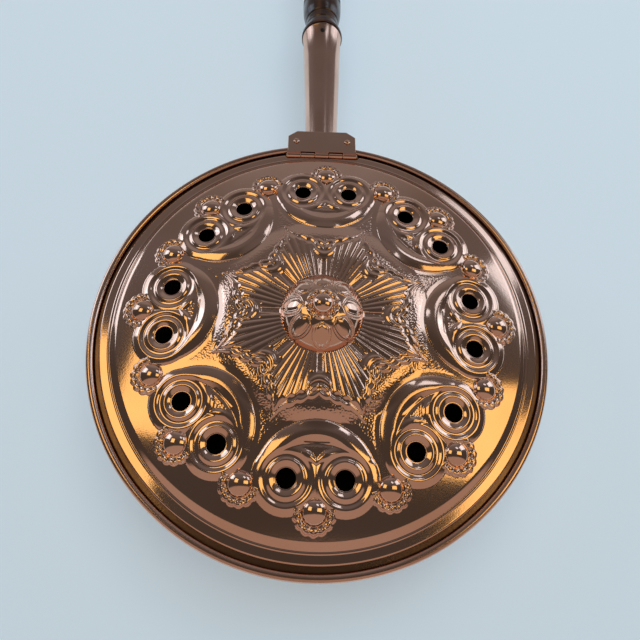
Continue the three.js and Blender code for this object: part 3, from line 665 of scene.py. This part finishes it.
def build_pan():
    bend_at = WALL_RADIUS + WALL_BEND
    bend_low = FLANGE_TOP - PAN_SHEET - WALL_BEND
    corner = WALL_RADIUS - CORNER_RADIUS
    section = [(0, 0.0)]
    section += arc(corner, CORNER_RADIUS, CORNER_RADIUS, -90, 0, 14)
    section += arc(bend_at, bend_low, WALL_BEND, 180, 90, 7)
    section += arc(BEAD_CIRCLE, BEAD_HEIGHT, BEAD_RADIUS, -138, 165, 26)
    section += arc(BEAD_CIRCLE, BEAD_HEIGHT, BEAD_RADIUS - PAN_SHEET, 165, -150, 14)
    section += arc(bend_at, bend_low, WALL_BEND + PAN_SHEET, 90, 180, 7)
    section += arc(corner, CORNER_RADIUS, CORNER_RADIUS - PAN_SHEET, 0, -90, 12)
    section += [(0, PAN_SHEET)]
    pan = lathe("pan", section, 256, COPPER, "pan", closed=False)
    plain, inside, bead, flange = range(4)
    for finish in (SOOT, SATIN, GAP_SHADE_COPPER):
        pan.data.materials.append(finish)
    for face in pan.data.polygons:
        radius = face.center.xy.length / MM
        outward = face.center.xy.dot(face.normal.xy)
        if radius < WALL_RADIUS and (outward < 0 or face.center.z / MM > PAN_SHEET * 0.9):
            face.material_index = inside if outward < 0 or face.normal.z > 0.5 else plain
        elif radius > BEAD_CIRCLE - BEAD_RADIUS:
            face.material_index = bead
        # The flange faces in the gap under the lid's hem take the copper darkened with painted shade.
        elif face.normal.z > 0.2:
            face.material_index = flange
    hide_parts("pan_bowl")


build_pan()

ON_HANDLE = Matrix.Translation((0, ROOT_Y, ROOT_Z)) @ Matrix.Rotation(RISE, 4, "X")
ALONG_Y = Matrix.Rotation(-math.pi / 2, 4, "X")
HANDLE_AXIS = ON_HANDLE @ ALONG_Y


def ferrule_radius(along):
    return FERRULE_ROOT + (FERRULE_MOUTH - FERRULE_ROOT) * along / FERRULE_LENGTH


def build_ferrule():
    outer = [(ferrule_radius(s), s) for s in (0, 0.6, 20, 60, 100, FERRULE_LENGTH - 2.2)]
    lip = arc(FERRULE_MOUTH - 0.35, FERRULE_LENGTH - 0.9, 0.9, -20, 110, 7)
    inner = [(ferrule_radius(s) - FERRULE_WALL, s) for s in (FERRULE_LENGTH - 0.2, 60, 0)]
    made = lathe("ferrule_tube", outer + lip + inner, 96, SATIN, "pan", HANDLE_AXIS)
    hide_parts("ferrule")


TURNED = [
    (0.3, 18.5), (3, 18.5), (5.5, 17), (10, 15.4), (17, 14.7), (22, 15.4), (28, 17), (36, 17.7),
    (46, 17.7), (55, 17.3), (65, 15.6), (75, 12.8), (81, 12), (84, 14.2), (89, 14.2), (92, 12.3),
    (110, 12.5), (200, 14.4), (300, 15), (400, 13.8), (468, 12), (473, 14), (480, 14), (485, 12),
    (505, 13.6), (545, 15.4), (580, 14.8), (602, 12), (608, 11), (613, 13), (622, 13.4), (630, 11),
    (635, 8.5),
]
GROOVES = (13.5, 20.5, 41.0, 44.0, 50.0, 86.5, 476.5)


def build_handle():
    reach = np.concatenate(
        [np.arange(0.3, 130, 0.7), np.arange(130, 460, 6), np.arange(460, 635.1, 1.0)]
    )
    radius = profile(reach, TURNED)
    for groove in GROOVES:
        radius = radius - 0.75 * bump(reach, groove, 1.3)
    start = 36.0
    fill = FERRULE_ROOT - FERRULE_WALL - 0.3
    taper = (FERRULE_MOUTH - FERRULE_ROOT) / FERRULE_LENGTH
    section = [(0, start), (fill + taper * start, start)]
    section += [(fill + taper * FERRULE_LENGTH, FERRULE_LENGTH + 0.3)]
    section += [(r, FERRULE_LENGTH + s) for r, s in zip(radius, reach)]
    section += [(6.8, FERRULE_LENGTH + 635.6), (0, FERRULE_LENGTH + 635.8)]
    made = lathe("turned_handle", section, 96, WOOD, "pan", HANDLE_AXIS, closed=False)
    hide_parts("wooden_handle")


build_ferrule()
build_handle()


# ------------------------------------------------------------------ wires, rivets and the hinge
def torus(name, radius, wire, mat, body, place, around=96, sides=24):
    points, faces = [], []
    for i in range(around):
        a = 2 * math.pi * i / around
        for k in range(sides):
            b = 2 * math.pi * k / sides
            r = radius + wire * math.cos(b)
            points.append((r * math.cos(a), r * math.sin(a), wire * math.sin(b)))
            j, m = (i + 1) % around, (k + 1) % sides
            faces.append((i * sides + k, j * sides + k, j * sides + m, i * sides + m))
    turn = np.array(place, float)
    points = np.array(points) @ turn[:3, :3].T + turn[:3, 3]
    return new_object(name, points, faces, mat, body)


def build_hanging():
    eye = ON_HANDLE @ Matrix.Translation((0, EYE_AT, 0))
    loop = torus("eye_loop", 5, 1.5, BRASS, "pan", eye @ Matrix.Rotation(math.pi / 2, 4, "Y"))
    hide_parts("screw_eye")
    shank = [(0, 750.5), (1.0, 751.5)]
    for turn in np.arange(752, 764, 0.35):
        shank.append((1.5 + 0.35 * math.sin(turn * 2 * math.pi / 1.4), turn))
    shank += [(1.8, 764.5), (1.8, 767.4), (2.4, 768.0), (0, 768.2)]
    lathe("eye_shank", shank, 24, BRASS, "pan", HANDLE_AXIS, closed=False)
    centre = (0, 927.09, 88.25 - RING_DROP)
    place = Matrix.Translation(centre) @ Matrix.Rotation(math.pi / 2, 4, "X")
    ring = torus("ring", 16, 1.8, BRASS, "ring", place)
    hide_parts("hanging_ring")


build_hanging()


def dome_head(radius, height, steps=8):
    """A rivet head's section from its edge up to its crown."""
    return [
        (radius * math.cos(a), height * math.sin(a))
        for a in np.linspace(0, math.pi / 2, steps)
    ]


def build_rivets():
    head = dome_head(3.2, 1.6)
    flat = [(0, -7.6), (1.4, -7.6), (1.5, 0.0), (2.3, 0.0)]
    for name, x in (("hinge_rivet_left", -20), ("hinge_rivet_right", 20)):
        place = Matrix.Translation((x, 152.7, PLATE_TOP + 0.3))
        section = flat + dome_head(2.3, 1.1)
        lathe(name + "_head", section, 32, COPPER, "pan", place, closed=False)
    for index, (side, z) in enumerate([(-1, 38), (-1, 51), (1, 38), (1, 51)]):
        turn = side * math.asin(18.8 / WALL_RADIUS)
        inwards = Matrix.Translation((0, 134.9, z)) @ Matrix.Rotation(math.pi / 2, 4, "X")
        out = Matrix.Rotation(turn, 4, "Z") @ inwards
        inner = [(0, -5.2), (1.5, -5.2), (1.5, 0), (3.2, 0)] + head
        lathe(f"saddle_rivet_{index + 1}", inner, 32, COPPER, "pan", out, closed=False)
    at = 122.0
    nail = [(0, -9.0), (1.1, -7), (1.1, 0.25), (2.0, 0.25), (2.0, 0.5)] + dome_head(1.9, 1.1, 5)
    place = ON_HANDLE @ Matrix.Translation((0, at, ferrule_radius(at)))
    made = lathe("nail", nail, 24, IRON, "pan", place, closed=False)
    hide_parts("ferrule_nail")


build_rivets()


def prism(name, outline, bottom, top, mat, body, bevel=0.3):
    """A plate with softened edges from a plan outline."""
    n = len(outline)
    points = [(x, y, bottom) for x, y in outline] + [(x, y, top) for x, y in outline]
    faces = [tuple(range(n))[::-1], tuple(range(n, 2 * n))]
    faces += [(i, (i + 1) % n, n + (i + 1) % n, n + i) for i in range(n)]
    obj = new_object(name, points, faces, mat, body, shade_smooth=False)
    soften = obj.modifiers.new("edges", "BEVEL")
    soften.width = bevel * MM
    soften.segments = 3
    soften.limit_method = "ANGLE"
    return obj


def knuckles(name, parity, web_end, web_low, web_high, body):
    """Rolled barrels of one hinge leaf, each with the tongue that joins it to its leaf."""
    length = (2 * HINGE_HALF - (KNUCKLES - 1) * KNUCKLE_GAP) / KNUCKLES
    for index in range(parity, KNUCKLES, 2):
        centre = -HINGE_HALF + length / 2 + index * (length + KNUCKLE_GAP)
        half = length / 2
        place = Matrix.Translation((centre, HINGE_Y, HINGE_Z)) @ Matrix.Rotation(math.pi / 2, 4, "Y")
        outer = [(1.15, -half), (1.95, -half), (2.15, -half + 0.2)]
        outer += [(2.15, half - 0.2), (1.95, half), (1.15, half)]
        lathe(f"{name}_{index + 1}", outer, 40, COPPER, body, place)
        low, high = min(HINGE_Y, web_end), max(HINGE_Y, web_end)
        low, high = (low + 1.4, high) if web_end > HINGE_Y else (low, high - 1.4)
        left, right = centre - half, centre + half
        tongue = [(left, low), (right, low), (right, high), (left, high)]
        prism(f"{name}_tongue_{index + 1}", tongue, web_low, web_high, COPPER, body, 0.12)


def build_hinge():
    half = 26.6
    inner_y = HINGE_Y + 2.6
    end = 163.1
    plan = [(-half, inner_y), (half, inner_y), (half, end - 5.3)]
    plan += [(half - 7, end), (7 - half, end), (-half, end - 5.3)]
    plate = prism("hinge_top_plate", plan, PLATE_BOTTOM, PLATE_TOP, COPPER, "pan", 0.45)
    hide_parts("hinge_plate", "hinge_rivet_left", "hinge_rivet_right")
    knuckles("pan_knuckle", 0, inner_y + 0.5, PLATE_BOTTOM, PLATE_TOP, "pan")
    leaf_y = HINGE_Y - 2.6
    leaf = [(-26, leaf_y - 8), (26, leaf_y - 8), (26, leaf_y), (-26, leaf_y)]
    made = prism("lid_leaf", leaf, LEAF_BOTTOM, LEAF_TOP, COPPER, "lid", 0.25)
    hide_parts("lid_hinge_leaf")
    knuckles("lid_knuckle", 1, leaf_y - 0.5, LEAF_BOTTOM, LEAF_TOP, "lid")
    pin = [(0, -28.1), (0.9, -28.05), (1.5, -27.75), (1.5, -27.3), (0.9, -27.3), (0.9, 27.3)]
    pin += [(1.5, 27.3), (1.5, 27.75), (0.9, 28.05), (0, 28.1)]
    place = Matrix.Translation((0, HINGE_Y, HINGE_Z)) @ Matrix.Rotation(math.pi / 2, 4, "Y")
    made = lathe("pin", pin, 32, BRASS, "pan", place, closed=False)
    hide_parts("hinge_pin")


build_hinge()

# ------------------------------------------------------------------ what stays as the CAD has it
NODE_FINISH = {
    "pan_rim_wire": (STEEL, "steel_wire"),
    "handle_bracket": (BRASS, "brass"),
    "ferrule_rivet": (COPPER, "copper"),
    "bracket_rivet_1": (COPPER, "copper"),
    "bracket_rivet_2": (COPPER, "copper"),
    "bracket_rivet_3": (COPPER, "copper"),
    "bracket_rivet_4": (COPPER, "copper"),
}
for node_name, (finish, slot_name) in NODE_FINISH.items():
    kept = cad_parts[node_name]
    kept.data.materials.clear()
    kept.data.materials.append(finish)
    smooth_by_angle(kept, 35)


# ------------------------------------------------------------------ floor, light and camera
def build_floor():
    mesh = bpy.data.meshes.new("floor")
    reach = 6.0
    corners = [(-reach, -reach, 0), (reach, -reach, 0), (reach, reach, 0), (-reach, reach, 0)]
    mesh.from_pydata(corners, [], [(0, 1, 2, 3)])
    floor = bpy.data.objects.new("floor", mesh)
    bpy.context.scene.collection.objects.link(floor)
    made = bpy.data.materials.new("floor")
    made.use_nodes = True
    shader = made.node_tree.nodes["Principled BSDF"]
    tint = (0.53, 0.65, 0.75, 1)
    shader.inputs["Base Color"].default_value = tint
    shader.inputs["Roughness"].default_value = 0.9
    shader.inputs["Specular IOR Level"].default_value = 0.1
    shader.inputs["Emission Color"].default_value = tint
    shader.inputs["Emission Strength"].default_value = 0.39
    mesh.materials.append(made)


def lamp(name, direction, distance, width, height, colour, power, glossy=True):
    """A rectangle of light that faces the pan from a direction."""
    data = bpy.data.lights.new(name, "AREA")
    data.shape = "RECTANGLE"
    data.size, data.size_y = width, height
    data.color = colour
    data.energy = power
    lamp_object = bpy.data.objects.new(name, data)
    bpy.context.scene.collection.objects.link(lamp_object)
    aim = Vector(direction).normalized()
    lamp_object.location = aim * distance + Vector((0, 0, 0.07))
    lamp_object.rotation_euler = aim.to_track_quat("Z", "Y").to_euler()
    lamp_object.visible_camera = False
    lamp_object.visible_glossy = glossy
    return lamp_object


def radiant(width, height, level):
    """Watts that give an area lamp this brightness as seen in a mirror."""
    return level * math.pi * width * height


def build_light():
    world = bpy.data.worlds.new("room")
    bpy.context.scene.world = world
    world.use_nodes = True
    tree = world.node_tree
    back = tree.nodes["Background"]
    way = node(tree, "ShaderNodeTexCoord").outputs["Generated"]
    parts = node(tree, "ShaderNodeSeparateXYZ", {"Vector": way})
    share = node(tree, "ShaderNodeMapRange", {"Value": parts.outputs["Y"], "From Min": -1.0})
    # From the side before the pan, past a dark middle, to the paler side behind the handle.
    stops = [
        (0.28, (0.35, 0.265, 0.22)), (0.32, (0.055, 0.050, 0.045)),
        (0.56, (0.060, 0.056, 0.052)), (0.78, (0.125, 0.12, 0.125)),
        (0.86, (0.135, 0.13, 0.135)), (0.93, (0.235, 0.23, 0.24)),
    ]
    tint = ramp(tree, share.outputs["Result"], stops)
    tree.links.new(tint, back.inputs["Color"])
    back.inputs["Strength"].default_value = 1.0
    warm = (1.0, 0.72, 0.26)
    cool = (0.64, 0.81, 1.0)
    for name, way, size, colour, level in (
        ("warm_right", (0.55, -0.03, 0.80), (1.0, 1.6), warm, 1.3),
        ("warm_left", (-0.48, 0.12, 0.87), (1.15, 1.15), warm, 1.3),
        ("cool_right", (0.85, 0.46, 0.20), (1.2, 1.1), cool, 1.4),
        ("cool_left", (-0.85, 0.46, 0.24), (1.2, 1.1), cool, 1.4),
        ("cool_mid_right", (0.76, 0.42, 0.49), (1.1, 0.95), cool, 1.4),
        ("cool_mid_left", (-0.77, 0.42, 0.48), (1.1, 0.9), cool, 1.4),
        ("cool_high_right", (0.37, 0.50, 0.785), (0.75, 0.5), cool, 1.4),
    ):
        lamp(name, way, 3.0, *size, colour, radiant(*size, level))
    lamp("soft_key", (0.1, 0.35, 0.93), 2.5, 2.2, 2.2, (1, 1, 1), 29.0, glossy=False)


def build_camera():
    frame_pixels = 640
    focal_pixels = 441.1968
    rx, ry, rz = -0.3906, 0.0336, -0.0192
    turn = Matrix.Rotation(rz, 3, "Z") @ Matrix.Rotation(ry, 3, "Y") @ Matrix.Rotation(rx, 3, "X")
    data = bpy.data.cameras.new("camera")
    data.sensor_width = 36.0
    data.lens = focal_pixels / frame_pixels * data.sensor_width
    data.clip_start = 0.01
    camera = bpy.data.objects.new("camera", data)
    bpy.context.scene.collection.objects.link(camera)
    shift = Vector((0.0088, 0.0102, -2.8671)) * 100 * MM
    back = turn.transposed()
    place = back @ -shift + Vector((0, 0, VENT_PLANE * MM))
    camera.matrix_world = Matrix.Translation(place) @ back.to_4x4()
    bpy.context.scene.camera = camera


build_floor()
build_light()
build_camera()
bpy.context.scene.view_settings.view_transform = "Standard"
